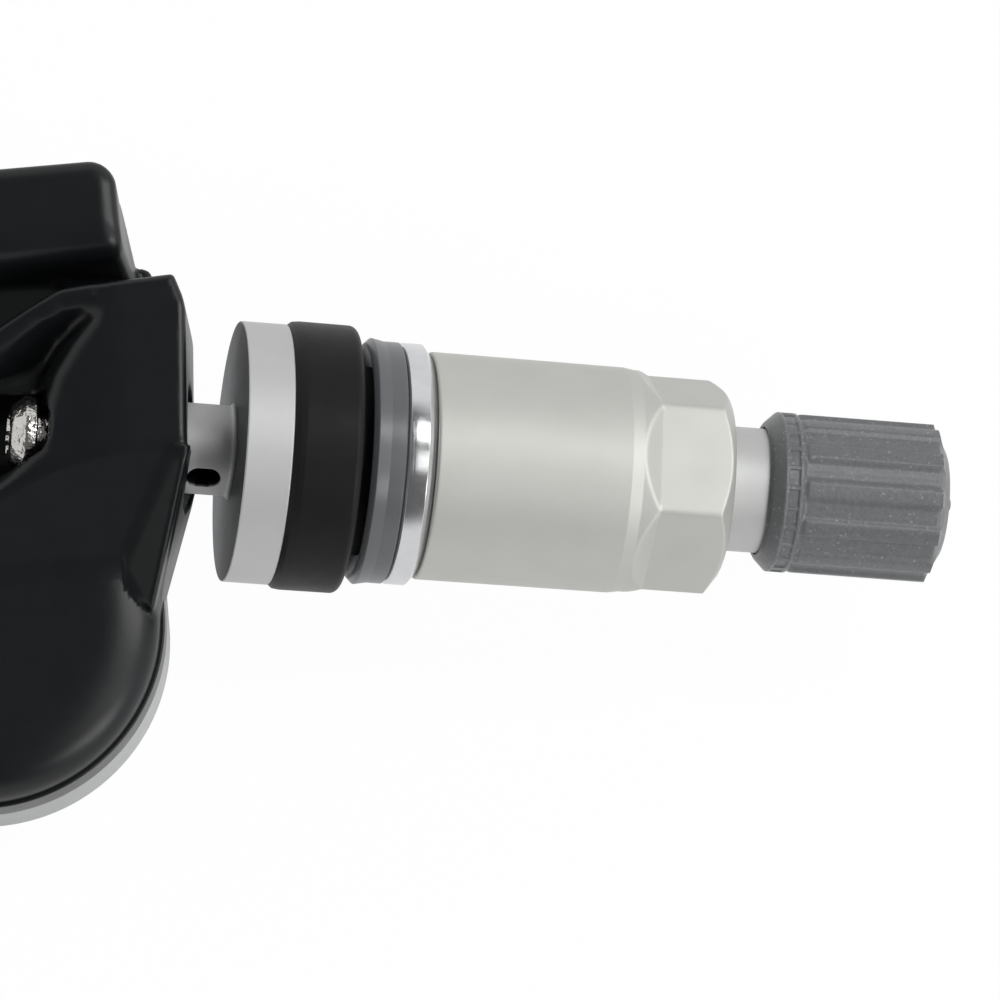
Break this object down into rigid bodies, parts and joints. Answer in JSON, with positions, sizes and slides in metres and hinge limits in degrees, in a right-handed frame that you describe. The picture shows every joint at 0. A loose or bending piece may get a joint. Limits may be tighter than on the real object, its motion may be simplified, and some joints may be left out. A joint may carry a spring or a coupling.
{
  "type": "tyre pressure sensor",
  "caption": "Tyre pressure sensor with a clamp-in metal valve: a moulded sensor body held by a screw on the valve's ball foot.",
  "frame": {"origin": "middle of the wheel's valve hole, on the rim face that the grommet's flange seals", "axes": "+X out along the valve; +Y towards the sensor body's far block; +Z away from the wheel's barrel, on the side of the deck"},
  "size_m": [0.0746, 0.0397, 0.0209],
  "materials": {
    "stem_metal": "satin anodised",
    "grommet_rubber": "matte moulded",
    "slip_plastic": "moulded nylon",
    "washer_metal": "bright turned",
    "nut_metal": "satin blasted and anodised",
    "cap_plastic": "moulded",
    "seal_rubber": "moulded",
    "core_brass": "turned",
    "gasket_plastic": "moulded",
    "pin_metal": "plated",
    "spring_steel": "drawn wire",
    "screw_nickel": "nickel plated",
    "housing_plastic": "satin moulded",
    "cover_plastic": "matte moulded",
    "board_laminate": "lacquered",
    "cell_steel": "pressed",
    "tab_nickel": "rolled strip",
    "chip_resin": "moulded",
    "crystal_can": "pressed can",
    "ferrite": "sintered",
    "winding_copper": "enamelled wire",
    "antenna_brass": "stamped",
    "passive_ceramic": "fired",
    "port_silicone": "moulded",
    "filter_membrane": "porous sheet"
  },
  "bodies": {
    "valve": {"valve_stem": "stem_metal", "rubber_grommet": "grommet_rubber", "core_body": "core_brass", "core_gasket": "gasket_plastic", "core_spring": "spring_steel", "foot_screw": "screw_nickel"},
    "washers": {"slip_washer": "slip_plastic", "nut_washer": "washer_metal"},
    "nut": {"valve_nut": "nut_metal"},
    "cap_washer": {"cap_seal": "seal_rubber"},
    "cap": {"valve_cap": "cap_plastic"},
    "core_pin": {"core_pin": "pin_metal", "pin_seal": "seal_rubber"},
    "sensor_body": {"upper_housing": "housing_plastic", "base_cover": "cover_plastic", "circuit_board": "board_laminate", "coin_cell": "cell_steel", "positive_tab": "tab_nickel", "negative_tab": "tab_nickel", "pressure_chip": "chip_resin", "transmitter_chip": "chip_resin", "crystal": "crystal_can", "coil_core": "ferrite", "coil_winding": "winding_copper", "antenna": "antenna_brass", "board_passives": "passive_ceramic", "port_seal": "port_silicone", "port_filter": "filter_membrane"}
  },
  "joints": [
    {"name": "nut_travel", "type": "slide", "parent": "valve", "child": "washers", "axis": [1, 0, 0], "range_m": [0, 0.00238]},
    {"name": "nut_turn", "type": "hinge", "parent": "washers", "child": "nut", "pos_m": [0.006, 0, 0], "axis": [1, 0, 0], "range_deg": [0, 1080]},
    {"name": "cap_travel", "type": "slide", "parent": "valve", "child": "cap_washer", "axis": [1, 0, 0], "range_m": [0, 0.00873]},
    {"name": "cap_turn", "type": "hinge", "parent": "cap_washer", "child": "cap", "pos_m": [0.03, 0, 0], "axis": [1, 0, 0], "range_deg": [0, 3960]},
    {"name": "core_pin_push", "type": "slide", "parent": "valve", "child": "core_pin", "axis": [-1, 0, 0], "range_m": [0, 0.001], "stiffness_N_per_m": 1500, "springref_m": -0.002, "deforming": ["core_spring"]},
    {"name": "body_tilt", "type": "hinge", "parent": "valve", "child": "sensor_body", "pos_m": [-0.0134, 0, 0], "axis": [0, -1, 0], "range_deg": [-10.5, 6.5]}
  ],
  "couplings": [
    {"joint": "nut_turn", "follows": "nut_travel", "rad_per_m": 7913.3},
    {"joint": "cap_turn", "follows": "cap_travel", "rad_per_m": 7913.3}
  ]
}
